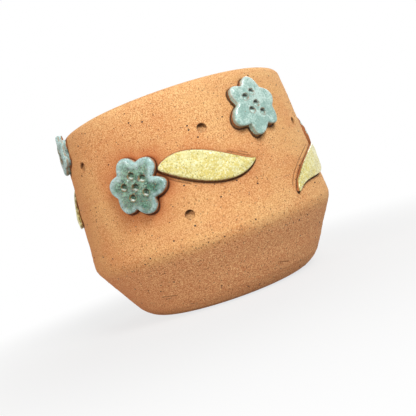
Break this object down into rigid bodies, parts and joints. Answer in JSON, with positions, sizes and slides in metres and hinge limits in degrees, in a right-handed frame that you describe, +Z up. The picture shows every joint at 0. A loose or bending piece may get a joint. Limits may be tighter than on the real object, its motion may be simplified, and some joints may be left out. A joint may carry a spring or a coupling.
{
  "type": "stoneware planter",
  "caption": "Small round thrown stoneware planter with a drain hole, glazed flower and leaf tiles pressed onto its wall.",
  "frame": {"origin": "centre of the drain hole where it leaves the foot's flat underside, on the surface that the pot stands on", "axes": "+Z up along the axis of the pot, the pictured side faces -Y, +X to the right seen from there"},
  "size_m": [0.1275, 0.1265, 0.1012],
  "materials": {
    "clay": "matte unglazed buff stoneware with fine grog and iron specks",
    "blue_green_glaze": "glossy mottled blue-green glaze, breaking pale at the rims",
    "yellow_glaze": "satin pale yellow glaze with iron specks"
  },
  "bodies": {
    "root": {"pot_body": "clay", "flower_front_left": "blue_green_glaze", "flower_front_right": "blue_green_glaze", "flower_right": "blue_green_glaze", "flower_back": "blue_green_glaze", "flower_back_left": "blue_green_glaze", "flower_left": "blue_green_glaze", "leaf_front": "yellow_glaze", "leaf_right": "yellow_glaze", "leaf_left": "yellow_glaze", "leaf_back_right": "yellow_glaze", "leaf_back_left": "yellow_glaze"}
  },
  "joints": []
}
